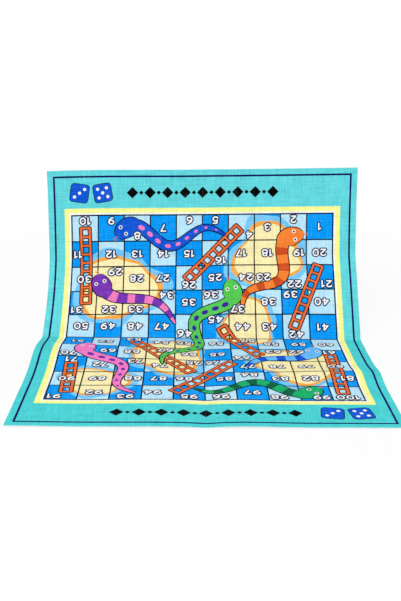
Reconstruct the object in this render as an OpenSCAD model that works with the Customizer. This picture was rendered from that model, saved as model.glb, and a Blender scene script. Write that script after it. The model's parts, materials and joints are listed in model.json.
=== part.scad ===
// Printed cloth snakes and ladders mat, set up as photographed: front half flat, rear half raised.
// It is one sheet of cloth with three pressed creases across it, so it folds as four panels.
// The printed colours are thin films on the panels, laid one above the other in print order.
// Frame: +X to the right, +Y to the back, +Z up; origin under the middle of the outer box. Millimetres.

/* [Cloth] */
// Width of the mat from side to side, which sets the side of a square
mat_w = 700; // [500:10:900]
// Thickness of the cloth
cloth_t = 1; // [0.6:0.1:1.6]

/* [Creases] */
// Rise of the lower rear panel above the floor, in degrees
lower_rise = 48; // [30:1:60]
// Rise of the upper rear panel above the floor, in degrees
upper_rise = 77; // [60:1:85]
// Half the width of the strip of cloth that bends in the front and in the rear crease
crease_half = 1.2; // [1:0.1:2]
// Room between the strip of cloth in a crease and a panel that turns against it
arc_clear = 0.05; // [0.02:0.01:0.1]
// Room between a folding line and the nearest face, which keeps folded faces apart
fold_clear = 0.3; // [0.2:0.05:0.6]

/* [Printed field] */
// Width of the lines between the squares
line_w = 2; // [1:0.5:3]
// Width of the line around all the squares
field_line_w = 3.2; // [2:0.2:4]
// Thickness of one printed film
film_t = 0.1; // [0.05:0.05:0.15]

/* [Printed border] */
// Unlined margin outside the navy line
margin = 13; // [8:1:16]
// Width of the navy line
navy_w = 3.6; // [2:0.2:5]
// Width of the ground between the navy line and the yellow frame, at the sides
side_band = 19.8; // [10:0.2:30]
// Width of the ground between the navy line and the yellow frame, at the ends
end_band = 69.8; // [40:0.2:90]
// Width of the yellow frame
yellow_w = 10.5; // [6:0.5:12]
// Width of the white frame between the yellow frame and the squares
white_w = 4; // [2:0.5:6]
// Height of the diamonds in the row at each end
diamond_h = 26; // [16:1:32]
// Width of one diamond
diamond_w = 26; // [16:1:32]
// Distance from one diamond to the next
diamond_pitch = 40; // [36:1:44]
// Width and height of the small diamond between two large ones
small_diamond = 10; // [6:1:12]
// Diamonds in the row at each end
diamonds = 9; // [5:2:9]
// Side of the two printed dice beside each row
die_side = 40; // [30:1:46]
// Radius of a die's corners
die_corner = 7; // [4:0.5:10]
// Radius of a die's pips
pip_r = 3.6; // [2:0.2:4.4]
// Room between the two dice
die_gap = 12; // [8:1:20]

/* [Snakes and ladders] */
// Half the width of a snake's body behind its head
snake_half = 15; // [9:0.5:16]
// Length of a snake's head
head_l = 52; // [40:1:58]
// Half the width of a snake's head
head_half = 21; // [16:0.5:23]
// How far a snake's body sways to each side of its line
snake_sway = 28; // [16:1:30]
// Width of a ladder over its rails
ladder_w = 25; // [18:1:32]
// Width of one ladder rail
rail_w = 5; // [3:0.5:7]
// Distance from one rung to the next
rung_pitch = 20; // [16:1:28]
// Width of one rung
rung_w = 4.5; // [3:0.5:6]

/* [View] */
// Node to draw, or all of them

/* [Hidden] */
$fn = 48;

// Panels in order from the front edge to the rear edge
front_outer = 0;
front_inner = 1;
rear_inner = 2;
rear_outer = 3;

// Print order, counted upward from the cloth
ground_film = 1;
island_film = 2;
line_film = 3;
ladder_film = 4;
snake_film = 5;

// Colours of the inks
cloth_white = [0.95, 0.95, 0.93];
teal = [0.33, 0.83, 0.85];
navy = [0.08, 0.10, 0.42];
yellow = [1.00, 0.97, 0.55];
blue = [0.02, 0.60, 0.95];
pale_blue = [0.74, 0.90, 0.98];
sand = [0.99, 0.92, 0.67];
line_grey = [0.22, 0.26, 0.32];
ladder_red = [0.93, 0.40, 0.18];
ink_black = [0.06, 0.06, 0.08];
purple = [0.50, 0.24, 0.70];
orange = [0.98, 0.58, 0.20];
green = [0.36, 0.78, 0.36];
sky = [0.40, 0.72, 1.00];
pink = [0.93, 0.55, 0.82];
deep_blue = [0.08, 0.36, 0.85];
lime = [0.60, 0.85, 0.25];

// Sizes that follow from the ones above
cells = 10;
frames = margin + navy_w + yellow_w + white_w + field_line_w / 2;
field = mat_w - 2 * (frames + side_band);
cell = field / cells;
mat_l = field + 2 * (frames + end_band);
panel_l = mat_l / 4;
print_top = cloth_t + snake_film * film_t;
bend = upper_rise - lower_rise;
main_axis_z = print_top + fold_clear;
back_axis_z = -fold_clear;
opening = (field + field_line_w) / 2 + white_w;
band_y = mat_l / 2 - margin - navy_w - end_band / 2;

// Lean of the dice, and their pips as steps of a quarter of a side
die_lean = 9;
three_pips = [[-1, -1], [0, 0], [1, 1]];
five_pips = [[-1, -1], [-1, 1], [0, 0], [1, -1], [1, 1]];

// A point of a side view turned about another by an angle
function turned(p, c, a) = [
    c[0] + (p[0] - c[0]) * cos(a) - (p[1] - c[1]) * sin(a),
    c[1] + (p[0] - c[0]) * sin(a) + (p[1] - c[1]) * cos(a)
];
// A point of the flat side view carried to where the rear outer panel stands
function raised(p) = turned(turned(p, [panel_l, back_axis_z], bend), [0, main_axis_z], lower_rise);
mid_y = (raised([mat_l / 2, 0])[0] - mat_l / 2) / 2;

// Start and end of a panel along the flat mat, measured from the middle crease
function panel_start(k) = (k - 2) * panel_l + [0, crease_half, arc_clear, crease_half][k];
function panel_end(k) = (k - 1) * panel_l - [crease_half, arc_clear, crease_half, 0][k];
// Place on the flat mat of a point given in squares, from the left and from the rear
function at(col, row) = [(col - cells / 2) * cell, (cells / 2 - row) * cell];

// Snakes as head, tail, half-waves of the body and the side of the first bend
purple_path = [at(1.0, 2.3), at(4.0, 4.4), 2, -1];
orange_path = [at(8.9, 0.8), at(6.5, 3.9), 3, -1];
green_path = [at(6.0, 2.6), at(3.6, 7.4), 4, 1];
sky_path = [at(9.0, 5.75), at(6.4, 7.8), 2, 1];
pink_path = [at(1.0, 5.8), at(2.8, 9.55), 3, -1];
blue_path = [at(1.7, 0.85), at(5.9, 0.8), 3, 1];
lime_path = [at(8.7, 9.1), at(4.6, 9.15), 3, 1];

// Ladders as lower end and upper end of their middle lines
ladders = [
    [at(0.5, 0.45), at(0.6, 3.55)],
    [at(6.45, 0.5), at(4.4, 2.6)],
    [at(9.45, 2.0), at(8.4, 4.6)],
    [at(5.7, 4.5), at(7.0, 6.6)],
    [at(2.5, 5.4), at(4.6, 8.0)],
    [at(9.5, 6.4), at(9.4, 9.55)],
    [at(0.5, 7.4), at(0.6, 9.5)],
    [at(4.0, 9.5), at(6.0, 7.2)]
];

// Islands as middle, mean radius and the direction that the outline is turned to
islands = [
    [at(1.8, 2.9), 84, 20],
    [at(7.5, 1.6), 76, 75],
    [at(6.7, 4.5), 60, 140],
    [at(3.8, 6.7), 78, 200],
    [at(8.2, 7.4), 82, 260],
    [at(1.5, 8.7), 60, 320]
];

// Carries a piece of the flat mat to where its panel is in the frame
module on_panel(k) {
    translate([0, -mid_y, 0])
        if (k < rear_inner) {
            children();
        } else {
            translate([0, 0, main_axis_z]) rotate([lower_rise, 0, 0]) translate([0, 0, -main_axis_z])
                if (k == rear_inner) {
                    children();
                } else {
                    translate([0, panel_l, back_axis_z]) rotate([bend, 0, 0])
                        translate([0, -panel_l, -back_axis_z]) children();
                }
        }
}

// Sheet of cloth between two creases
module panel(k) {
    color(cloth_white) on_panel(k)
        translate([-mat_w / 2, panel_start(k), 0]) cube([mat_w, panel_end(k) - panel_start(k), cloth_t]);
}

// Part of a flat drawing that lies on one panel, as a film in its place in the print order
module film(k, order, ink) {
    color(ink) on_panel(k) translate([0, 0, cloth_t + (order - 1) * film_t])
        linear_extrude(film_t) intersection() {
            children();
            translate([-mat_w / 2, panel_start(k)]) square([mat_w, panel_end(k) - panel_start(k)]);
        }
}

// Side view of a crease carried across the width of the mat
module across_mat() {
    color(cloth_white) translate([-mat_w / 2, -mid_y, 0]) rotate([90, 0, 90]) linear_extrude(mat_w) children();
}

// Strip of cloth in the front crease, which lies flat
module front_crease() {
    across_mat() translate([arc_clear - panel_l - crease_half, 0])
        square([2 * crease_half - arc_clear, cloth_t]);
}

// Strip of cloth in the middle crease, an arc about the folding line
module middle_crease() {
    reach = 3 * main_axis_z;
    across_mat() translate([0, main_axis_z]) difference() {
        intersection() {
            circle(main_axis_z);
            polygon([
                [0, 0], [0, -reach],
                [reach * tan(lower_rise / 2), -reach],
                [reach * sin(lower_rise), -reach * cos(lower_rise)]
            ]);
        }
        circle(main_axis_z - cloth_t);
    }
}

// Strip of cloth in the rear crease, from the end of one panel to the start of the next
module rear_crease() {
    axis = [0, main_axis_z];
    across_mat() polygon([
        turned([panel_l - crease_half, 0], axis, lower_rise),
        raised([panel_l + crease_half - arc_clear, 0]),
        raised([panel_l + crease_half - arc_clear, cloth_t]),
        turned([panel_l - crease_half, cloth_t], axis, lower_rise)
    ]);
}

// Flat frame with given half sizes outside and one width
module frame_2d(half_w, half_l, width) {
    difference() {
        square([2 * half_w, 2 * half_l], center = true);
        square([2 * (half_w - width), 2 * (half_l - width)], center = true);
    }
}

// Ground colour of the border, from the edge of the cloth to the yellow frame
module border_2d() {
    side = 2 * (opening + yellow_w);
    difference() {
        square([mat_w, mat_l], center = true);
        square([side, side], center = true);
    }
}

// Every other square of the field, less half a line all round
module squares_2d(odd) {
    side = cell - line_w;
    for (col = [0 : cells - 1], row = [0 : cells - 1])
        if ((col + row) % 2 == odd)
            translate(at(col + 0.5, row + 0.5)) square([side, side], center = true);
}

// Lines between the squares and around them
module grid_lines_2d() {
    side = cell - line_w;
    difference() {
        square([field + field_line_w, field + field_line_w], center = true);
        for (col = [0 : cells - 1], row = [0 : cells - 1])
            translate(at(col + 0.5, row + 0.5)) square([side, side], center = true);
    }
}

// Radius of an island's coast at an angle, as a share of its mean radius: broad capes with smaller bays on them
function coast(a, turn) =
    1 + 0.11 * cos(3 * a + turn) + 0.08 * cos(2 * a - turn)
    + 0.04 * cos(5 * a + 2 * turn) + 0.025 * cos(8 * a - 3 * turn);
// Sand islands
module islands_2d() {
    for (island = islands)
        translate(island[0]) polygon([
            for (a = [0 : 6 : 354])
                let (r = island[1] * coast(a, island[2]))
                [r * cos(a), r * sin(a)]
        ]);
}

// Ladders with rungs at an even distance near the pitch
module ladders_2d() {
    for (ladder = ladders) {
        run = ladder[1] - ladder[0];
        length = norm(run);
        gaps = round(length / rung_pitch);
        pitch = (length - rung_w) / gaps;
        translate(ladder[0]) rotate(atan2(run[1], run[0])) difference() {
            translate([0, -ladder_w / 2]) square([length, ladder_w]);
            for (i = [0 : gaps - 1])
                translate([rung_w + i * pitch, rail_w - ladder_w / 2])
                    square([pitch - rung_w, ladder_w - 2 * rail_w]);
        }
    }
}

// Middle line of a snake from its head at 0 to its tail at 1
function snake_line(path, t) =
    let (run = path[1] - path[0], aside = [-run[1], run[0]] / norm(run))
    path[0] + run * t + aside * path[3] * snake_sway * sin(180 * path[2] * t) * (1 - 0.4 * t);
// Half width of a snake at a distance from its nose
function snake_width(d, length) = max(
    d < head_l ? head_half * sqrt(max(0, 1 - pow(2 * d / head_l - 1, 2))) : 0,
    d > head_l / 2 ? snake_half * pow(max(0, 1 - d / length), 0.5) : 0
);
// One edge of a snake, on the left for a side of 1 and on the right for -1
function snake_edge(path, t, side) =
    let (
        length = norm(path[1] - path[0]),
        along = snake_line(path, t + 0.005) - snake_line(path, t - 0.005),
        aside = [-along[1], along[0]] / norm(along)
    )
    snake_line(path, t) + aside * side * snake_width(t * length, length);
// Outline of a snake, closer together at the head where it curves most
module snake_2d(path) {
    steps = 30;
    polygon(concat(
        [for (i = [0 : steps]) snake_edge(path, pow(i / steps, 1.4), 1)],
        [for (i = [steps - 1 : -1 : 1]) snake_edge(path, pow(i / steps, 1.4), -1)]
    ));
}

// A square on its corner, stretched to a width and a height
module diamond_2d(w, h) {
    polygon([[-w / 2, 0], [0, -h / 2], [w / 2, 0], [0, h / 2]]);
}

// Row of large diamonds with a small one between each two, in the wide band of the border
module diamond_row_2d(end) {
    for (i = [0 : diamonds - 1])
        translate([(i - (diamonds - 1) / 2) * diamond_pitch, end * band_y]) diamond_2d(diamond_w, diamond_h);
    for (i = [0 : diamonds - 2])
        translate([(i - diamonds / 2 + 1) * diamond_pitch, end * band_y]) diamond_2d(small_diamond, small_diamond);
}

// Face of a die, with its pips left open
module die_2d(pips) {
    difference() {
        offset(die_corner) square(die_side - 2 * die_corner, center = true);
        for (pip = pips) translate(pip * die_side / 4) circle(pip_r);
    }
}

// Two dice leaning apart, midway between the row of diamonds and the navy line
module dice_2d(end) {
    row_end = (diamonds - 1) / 2 * diamond_pitch + diamond_w / 2;
    translate([-end * (row_end + mat_w / 2 - margin - navy_w) / 2, end * band_y])
        for (side = [-1, 1])
            translate([side * (die_side + die_gap) / 2, 0]) rotate(side * die_lean)
                die_2d(side > 0 ? five_pips : three_pips);
}

module border(k) film(k, ground_film, teal) border_2d();
module yellow_frame(k) film(k, ground_film, yellow) frame_2d(opening + yellow_w, opening + yellow_w, yellow_w);
module blue_squares(k) film(k, ground_film, blue) squares_2d(1);
module pale_squares(k) film(k, ground_film, pale_blue) squares_2d(0);
module sand_islands(k) film(k, island_film, sand) islands_2d();
module grid_lines(k) film(k, line_film, line_grey) grid_lines_2d();
module navy_line(k) film(k, line_film, navy) frame_2d(mat_w / 2 - margin, mat_l / 2 - margin, navy_w);
module ladder_set(k) film(k, ladder_film, ladder_red) ladders_2d();
module snake(k, path, ink) film(k, snake_film, ink) snake_2d(path);
module diamond_row(k, end) film(k, line_film, ink_black) diamond_row_2d(end);
module dice(k, end) film(k, line_film, deep_blue) dice_2d(end);

panel(front_outer);  // front_outer_panel
panel(front_inner);  // front_inner_panel
panel(rear_inner);  // rear_inner_panel
panel(rear_outer);  // rear_outer_panel
front_crease();
middle_crease();
rear_crease();
border(front_outer);  // front_outer_border
border(front_inner);  // front_inner_border
border(rear_inner);  // rear_inner_border
border(rear_outer);  // rear_outer_border
navy_line(front_outer);  // front_outer_navy_line
navy_line(front_inner);  // front_inner_navy_line
navy_line(rear_inner);  // rear_inner_navy_line
navy_line(rear_outer);  // rear_outer_navy_line
yellow_frame(front_outer);  // front_outer_yellow_frame
yellow_frame(front_inner);  // front_inner_yellow_frame
yellow_frame(rear_inner);  // rear_inner_yellow_frame
yellow_frame(rear_outer);  // rear_outer_yellow_frame
blue_squares(front_outer);  // front_outer_blue_squares
blue_squares(front_inner);  // front_inner_blue_squares
blue_squares(rear_inner);  // rear_inner_blue_squares
blue_squares(rear_outer);  // rear_outer_blue_squares
pale_squares(front_outer);  // front_outer_pale_squares
pale_squares(front_inner);  // front_inner_pale_squares
pale_squares(rear_inner);  // rear_inner_pale_squares
pale_squares(rear_outer);  // rear_outer_pale_squares
sand_islands(front_outer);  // front_outer_islands
sand_islands(front_inner);  // front_inner_islands
sand_islands(rear_inner);  // rear_inner_islands
sand_islands(rear_outer);  // rear_outer_islands
grid_lines(front_outer);  // front_outer_grid_lines
grid_lines(front_inner);  // front_inner_grid_lines
grid_lines(rear_inner);  // rear_inner_grid_lines
grid_lines(rear_outer);  // rear_outer_grid_lines
ladder_set(front_outer);  // front_outer_ladders
ladder_set(front_inner);  // front_inner_ladders
ladder_set(rear_inner);  // rear_inner_ladders
ladder_set(rear_outer);  // rear_outer_ladders
diamond_row(front_outer, -1);  // front_diamond_row
diamond_row(rear_outer, 1);  // rear_diamond_row
dice(front_outer, -1);  // front_dice
dice(rear_outer, 1);  // rear_dice
snake(rear_inner, purple_path, purple);  // purple_snake
snake(rear_outer, orange_path, orange);  // orange_snake_head
snake(rear_inner, orange_path, orange);  // orange_snake_tail
snake(rear_inner, green_path, green);  // green_snake_head
snake(front_inner, green_path, green);  // green_snake_tail
snake(front_inner, sky_path, sky);  // sky_snake
snake(front_inner, pink_path, pink);  // pink_snake_head
snake(front_outer, pink_path, pink);  // pink_snake_tail
snake(rear_outer, blue_path, deep_blue);  // blue_snake
snake(front_outer, lime_path, lime);  // lime_snake
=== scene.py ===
# %% [markdown]
# # A printed cloth snakes and ladders mat
# The real thing is one sheet of soft printed cloth. Its front half lies on the floor and its rear half
# is held up, and it is bent along three creases that were pressed in when it was folded for sale.
# The packed model gives the flat panels and the folding lines. This script gives the mat its waves,
# its print and its fibres. A sculpted sheet could be painted by hand, but then the print would have to
# be bent to fit every fold. So each step draws on the flat mat first, with u across it and v along it,
# and one function carries flat points to the shaped cloth. The print then follows the folds by itself.

# %% The packed frame and the size of the mat
import functools
import json
import math
from collections import namedtuple

import bpy
import numpy as np
from mathutils import Matrix, Vector


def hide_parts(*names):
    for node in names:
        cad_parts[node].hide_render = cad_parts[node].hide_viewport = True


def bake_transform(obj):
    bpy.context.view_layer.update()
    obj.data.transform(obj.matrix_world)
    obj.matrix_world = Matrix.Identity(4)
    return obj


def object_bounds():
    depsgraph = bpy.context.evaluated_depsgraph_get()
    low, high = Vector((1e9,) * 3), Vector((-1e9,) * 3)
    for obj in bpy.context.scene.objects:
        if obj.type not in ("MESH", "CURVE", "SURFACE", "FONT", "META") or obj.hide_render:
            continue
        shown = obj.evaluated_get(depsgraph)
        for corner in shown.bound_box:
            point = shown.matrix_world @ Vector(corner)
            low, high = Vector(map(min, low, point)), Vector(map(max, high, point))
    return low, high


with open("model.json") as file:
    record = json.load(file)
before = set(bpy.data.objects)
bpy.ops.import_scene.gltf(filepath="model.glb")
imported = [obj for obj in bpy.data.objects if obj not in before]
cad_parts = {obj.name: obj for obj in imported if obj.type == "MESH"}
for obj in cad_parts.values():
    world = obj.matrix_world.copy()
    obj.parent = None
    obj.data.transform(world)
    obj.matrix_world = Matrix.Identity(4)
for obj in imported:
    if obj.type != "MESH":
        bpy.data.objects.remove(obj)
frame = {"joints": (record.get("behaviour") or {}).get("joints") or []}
cad_low, cad_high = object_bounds()
MM = 0.001
folds = {joint["name"]: joint for joint in frame["joints"]}
crease_y = folds["middle_fold"]["pos_m"][1]
quarter = crease_y - folds["front_fold"]["pos_m"][1]
half_w = cad_high.x
half_l = 2 * quarter
cloth_t = 1.0 * MM
print(f"mat {2 * half_w:.3f} x {2 * half_l:.3f} m, middle crease at y {crease_y:.4f} m")

# %% [markdown]
# ## Camera
# The photograph looks slightly down at the mat from the front, with the camera turned a little to the
# right and tilted by less than a degree. A camera can be placed by eye, but then every shape ends up
# bent to make good its faults. Here the place, turn and lens come from matching the corners of the
# printed squares, with the place measured from the middle crease. It comes first, so that each piece
# can be compared with the photograph as soon as it is made.

# %% Camera
# Metres, degrees, and millimetres for the lens and the sensor
CAMERA_PLACE = (-0.041, crease_y - 1.6163, 0.667)
CAMERA_TURN = -1.27
CAMERA_DOWN = 19.59
CAMERA_TILT = 0.86
CAMERA_LENS = 47.56
SENSOR_W = 36

camera_data = bpy.data.cameras.new("camera")
camera_data.sensor_width = SENSOR_W
camera_data.lens = CAMERA_LENS
camera = bpy.data.objects.new("camera", camera_data)
bpy.context.scene.collection.objects.link(camera)
camera.matrix_world = (
    Matrix.Translation(CAMERA_PLACE)
    @ Matrix.Rotation(math.radians(CAMERA_TURN), 4, "Z")
    @ Matrix.Rotation(math.radians(90 - CAMERA_DOWN), 4, "X")
    @ Matrix.Rotation(math.radians(CAMERA_TILT), 4, "Z")
)
bpy.context.scene.camera = camera
print("camera at", [round(x, 3) for x in CAMERA_PLACE], "lens", CAMERA_LENS, "mm")

# %% [markdown]
# ## The raised half
# The rear half is held up by something out of sight. It rises less steeply on the left than on the right
# at first, and more steeply further up, so it is twisted as well as bent. A cloth simulation would find
# a natural drape, but not this one, and heights drawn freely would stretch the print. So the shape is
# given as the angle at which the cloth rises at each flat point. Adding up small steps at those angles
# gives places that keep the cloth's length, as real cloth does.

# %% Rise of the raised half
# Degrees at the left edge, on the middle line and at the right edge
INNER_START = (32.5, 45, 55)
INNER_HALFWAY = (41.5, 48, 52.5)
INNER_END = (68, 53.5, 51.5)
OUTER_START = (80.5, 68, 71.5)
OUTER_END = (88, 82, 80.5)


def across(u, left, middle, right):
    """The parabola through three values: at the left edge, on the middle line and at the right edge."""
    s = u / half_w
    return middle + (right - left) / 2 * s + ((right + left) / 2 - middle) * s * s


def inner_rise(u, v):
    """Degrees on the inner rear panel: along v, the parabola through its start, halfway and end."""
    t = np.clip(v / quarter, 0, 1)
    ends = (1 - t) * (1 - 2 * t) * across(u, *INNER_START) + t * (2 * t - 1) * across(u, *INNER_END)
    return ends + 4 * t * (1 - t) * across(u, *INNER_HALFWAY)


def outer_rise(u, v):
    """Degrees on the outer rear panel: along v, a straight line from its start to its end."""
    t = np.clip(v / quarter - 1, 0, 1)
    return (1 - t) * across(u, *OUTER_START) + t * across(u, *OUTER_END)


print("on the middle line the cloth rises at", INNER_START[1], "to", OUTER_END[1], "degrees")

# %% [markdown]
# ## The lying half
# The front half doesn't lie quite flat. The raised half pulls up a broad hump on the left, the front
# crease still stands as a ridge on the right, and the front corners lift a little. A sculpting brush
# could do this. Smooth bells do it with one height, place and spread each, which are easy to match to
# the bends that the photograph shows in the printed lines.

# %% Heights of the lying half
LEFT_HUMP = 14.5 * MM
LEFT_HUMP_V = -0.43 * quarter
LEFT_HUMP_SPREAD = 66 * MM
RIGHT_RIDGE = 7.2 * MM
RIGHT_RIDGE_V = -0.93 * quarter
RIGHT_RIDGE_SPREAD = 34 * MM
CORNER_LIFT = 1.2 * MM
CORNER_FROM = 250 * MM
CORNER_REACH = 150 * MM


def eased(t):
    """Goes from 0 to 1 with level ends, as 3t^2 - 2t^3, and stays at 0 and 1 outside."""
    t = np.clip(t, 0, 1)
    return t * t * (3 - 2 * t)


def hill(x, middle, spread):
    """A bell of height 1: e to the power of minus the squared distance from the middle in spreads."""
    return np.exp(-(((x - middle) / spread) ** 2))


def lying_height(u, v):
    """Height of the lying half: a hump at the left, a ridge at the right, and corners that lift as u^2."""
    s = u / half_w
    hump = LEFT_HUMP * eased(-s) * hill(v, LEFT_HUMP_V, LEFT_HUMP_SPREAD)
    ridge = RIGHT_RIDGE * eased(s) * hill(v, RIGHT_RIDGE_V, RIGHT_RIDGE_SPREAD)
    corners = CORNER_LIFT * s * s * eased((-v - CORNER_FROM) / CORNER_REACH)
    return hump + ridge + corners


print("hump", LEFT_HUMP / MM, "mm, ridge", RIGHT_RIDGE / MM, "mm, corners", CORNER_LIFT / MM, "mm")

# %% [markdown]
# ## Pressed creases
# The creases were ironed in by the weight of the folded pack, so the cloth turns in them within a few
# millimetres. A sharp corner would be simpler, but no cloth turns on a line. So the angle goes over from
# one panel to the next in an eased step.

# %% One angle for the whole cloth
# Half the width over which the cloth turns in a crease, and the step for measuring a slope
MIDDLE_TURN = 5 * MM
REAR_TURN = 6 * MM
SLOPE_STEP = 0.1 * MM


def rise(u, v):
    """Angle of the cloth along v in radians: three slopes, with an eased step between two of them.

    The lying half's slope is the difference of two heights over twice a small step.
    """
    climb = lying_height(u, v + SLOPE_STEP) - lying_height(u, v - SLOPE_STEP)
    lying = np.arctan(climb / (2 * SLOPE_STEP))
    past_middle = eased((v + MIDDLE_TURN) / (2 * MIDDLE_TURN))
    past_rear = eased((v - quarter + REAR_TURN) / (2 * REAR_TURN))
    raised = np.radians((1 - past_rear) * inner_rise(u, v) + past_rear * outer_rise(u, v))
    return (1 - past_middle) * lying + past_middle * raised


at_top = np.degrees(rise(np.linspace(-half_w, half_w, 3), half_l))
print("top edge stands at", at_top.round(1), "degrees")

# %% [markdown]
# ## Ripples and the lattice
# Real cloth also has a crease from front to back, where it was folded once more, and faint ripples. They
# could be bump in the material, but they bend the outline too, so they are in the mesh, along the
# normal. The whole shape is worked out once on a fine lattice of flat points. A function then reads
# places between the lattice points, so that any flat drawing can be laid on the cloth quickly.

# %% Ripples
FOLD_VALLEY = 2.2 * MM
VALLEY_REACH = 60 * MM
VALLEY_ROUND = 9 * MM
RIPPLE = 0.5 * MM
# Lengths along u or v in which a ripple goes on by one radian, and how far it wanders or is shifted
ACROSS_LENGTH = 31 * MM
ACROSS_WANDER_LENGTH = 47 * MM
ACROSS_WANDER = 0.6
ALONG_LENGTH = 23 * MM
ALONG_SLANT = 58 * MM
ALONG_SHIFT = 1.3


def ripples(u, v):
    """Lift along the normal: both sides of the front-to-back crease swell, and two slanted wave trains cross.

    With f as the distance from the crease in reaches, rounded at 0, the swelling goes as f e^(1 - f),
    which is highest at f = 1. Each wave train is 1 plus a sine.
    """
    far = (np.hypot(u, VALLEY_ROUND) - VALLEY_ROUND) / VALLEY_REACH
    swelling = FOLD_VALLEY * far * np.exp(1 - far)
    first = 1 + np.sin(u / ACROSS_LENGTH + ACROSS_WANDER * np.sin(v / ACROSS_WANDER_LENGTH))
    second = 1 + np.sin(v / ALONG_LENGTH - u / ALONG_SLANT + ALONG_SHIFT)
    return swelling + RIPPLE * (first + second) / 2


print("ripples up to", 2 * RIPPLE / MM, "mm, swelling beside the crease", FOLD_VALLEY / MM, "mm")

# %% Lattice of shaped points
LATTICE_U = 141
LATTICE_V = 801


def running_sum(slope, step, zero):
    """Adds up a slope along the last axis by trapezoids, with 0 at the given column."""
    steps = (slope[:, 1:] + slope[:, :-1]) / 2 * step
    total = np.concatenate([np.zeros((len(slope), 1)), np.cumsum(steps, 1)], 1)
    return total - total[:, [zero]]


def normals_of(points):
    """Unit normals of a grid of points: the cross product of its two directions."""
    crossed = np.cross(np.gradient(points, axis=0), np.gradient(points, axis=1))
    return crossed / np.linalg.norm(crossed, axis=-1, keepdims=True)


def shaped_lattice():
    """Points and normals of the cloth's underside at evenly spaced flat points.

    y adds up the cosine of the rise and z its sine, both from just before the middle crease.
    """
    u = np.linspace(-half_w, half_w, LATTICE_U)
    v = np.linspace(-half_l, half_l, LATTICE_V)
    flat_u, flat_v = np.meshgrid(u, v, indexing="ij")
    angle = rise(flat_u, flat_v)
    step = v[1] - v[0]
    start = int(np.searchsorted(v, -MIDDLE_TURN))
    y = crease_y + v[start] + running_sum(np.cos(angle), step, start)
    z = lying_height(flat_u, v[start]) + running_sum(np.sin(angle), step, start)
    smooth = np.stack([flat_u, y, z], -1)
    points = smooth + normals_of(smooth) * ripples(flat_u, flat_v)[..., None]
    return points, normals_of(points)


lattice_points, lattice_normals = shaped_lattice()
print("cloth from z", lattice_points[..., 2].min().round(4), "to", lattice_points[..., 2].max().round(4))

# %% Reading places from the lattice
# The last place that is read lies this share of a step before the last line, which has none after it
LAST_GAP = 0.001


def lattice_place(x, half, count):
    """Nearest lattice line below a flat coordinate, and the share of the way to the next one."""
    place = np.clip((x + half) / (2 * half) * (count - 1), 0, count - 1 - LAST_GAP)
    below = place.astype(int)
    return below, (place - below)[..., None]


def on_cloth(u, v, lift):
    """Places of flat points on the shaped cloth, read between the four nearest lattice points and lifted."""
    i, a = lattice_place(u, half_w, LATTICE_U)
    j, b = lattice_place(v, half_l, LATTICE_V)

    def between(values):
        near = (1 - a) * values[i, j] + a * values[i + 1, j]
        far = (1 - a) * values[i, j + 1] + a * values[i + 1, j + 1]
        return (1 - b) * near + b * far

    return between(lattice_points) + between(lattice_normals) * np.asarray(lift)[..., None]


middle_of_top = on_cloth(np.zeros(1), np.array([half_l]), np.zeros(1))[0]
print("middle of the top edge at", middle_of_top.round(4))

# %% [markdown]
# ## Inks
# The print has few colours, and many small shapes share each of them. One material for each ink would
# work, but then the weave would have to be made many times over. So every face carries its own ink in
# a colour attribute, and one cloth material reads it. The inks are written as screen colours and turned
# into the linear light that the renderer works with. The border of the lying half has an ink of its own,
# a deeper teal than that of the raised half, which is painted shade.

# %% Inks
INKS = {
    "cloth": (250, 250, 248),
    "teal": (100, 216, 222),
    # Painted shade: a darker copy of the teal, for the border of the lying half
    "deep_teal": (76, 210, 212),
    "navy": (14, 8, 92),
    "yellow": (255, 253, 150),
    "line": (8, 12, 22),
    "blue": (3, 155, 248),
    "pale_blue": (189, 232, 255),
    "sand": (255, 240, 180),
    "shore": (250, 172, 78),
    "shallows": (120, 202, 250),
    "ladder": (237, 110, 58),
    "ladder_edge": (18, 8, 12),
    "black": (2, 2, 3),
    "snake_edge": (8, 6, 22),
    "white": (253, 253, 253),
    "purple": (122, 54, 176),
    "rose": (246, 126, 190),
    "orange": (250, 132, 52),
    "rust": (206, 78, 34),
    "green": (88, 202, 84),
    "indigo": (54, 40, 150),
    "sky": (104, 188, 255),
    "deep_blue": (16, 88, 214),
    "pink": (244, 124, 198),
    "plum": (120, 44, 160),
    "mint": (26, 176, 108),
    "forest": (12, 98, 66),
    "number_edge": (22, 14, 70),
}
INK = {name: index for index, name in enumerate(INKS)}


def linear(screen):
    """Screen colours as linear light: (c + 0.055) / 1.055 to the power 2.4, and straight near black."""
    c = np.asarray(screen, float) / 255
    return np.where(c <= 0.04045, c / 12.92, ((c + 0.055) / 1.055) ** 2.4)


palette = np.ones((len(INKS), 4))
palette[:, :3] = linear(list(INKS.values()))
print(len(INKS), "inks")

# %% [markdown]
# ## Printed cloth
# The cloth is a soft, matt fabric with a fine weave and a fuzz of fibres. A picture of cloth would
# repeat, and it would hold one light. Waves and noise make the same look at any size. Streaks of thicker
# yarn, cloudy dye and single fibres break up the ink. Pressed creases wear first, so the ink is a little
# paler along them, and where two thick yarns cross, some bare fibre shows. Weave and fuzz are also bump,
# because they are finer than any mesh. All of it reads the flat mat's coordinates from a UV map, so it
# follows the folds.

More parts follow.
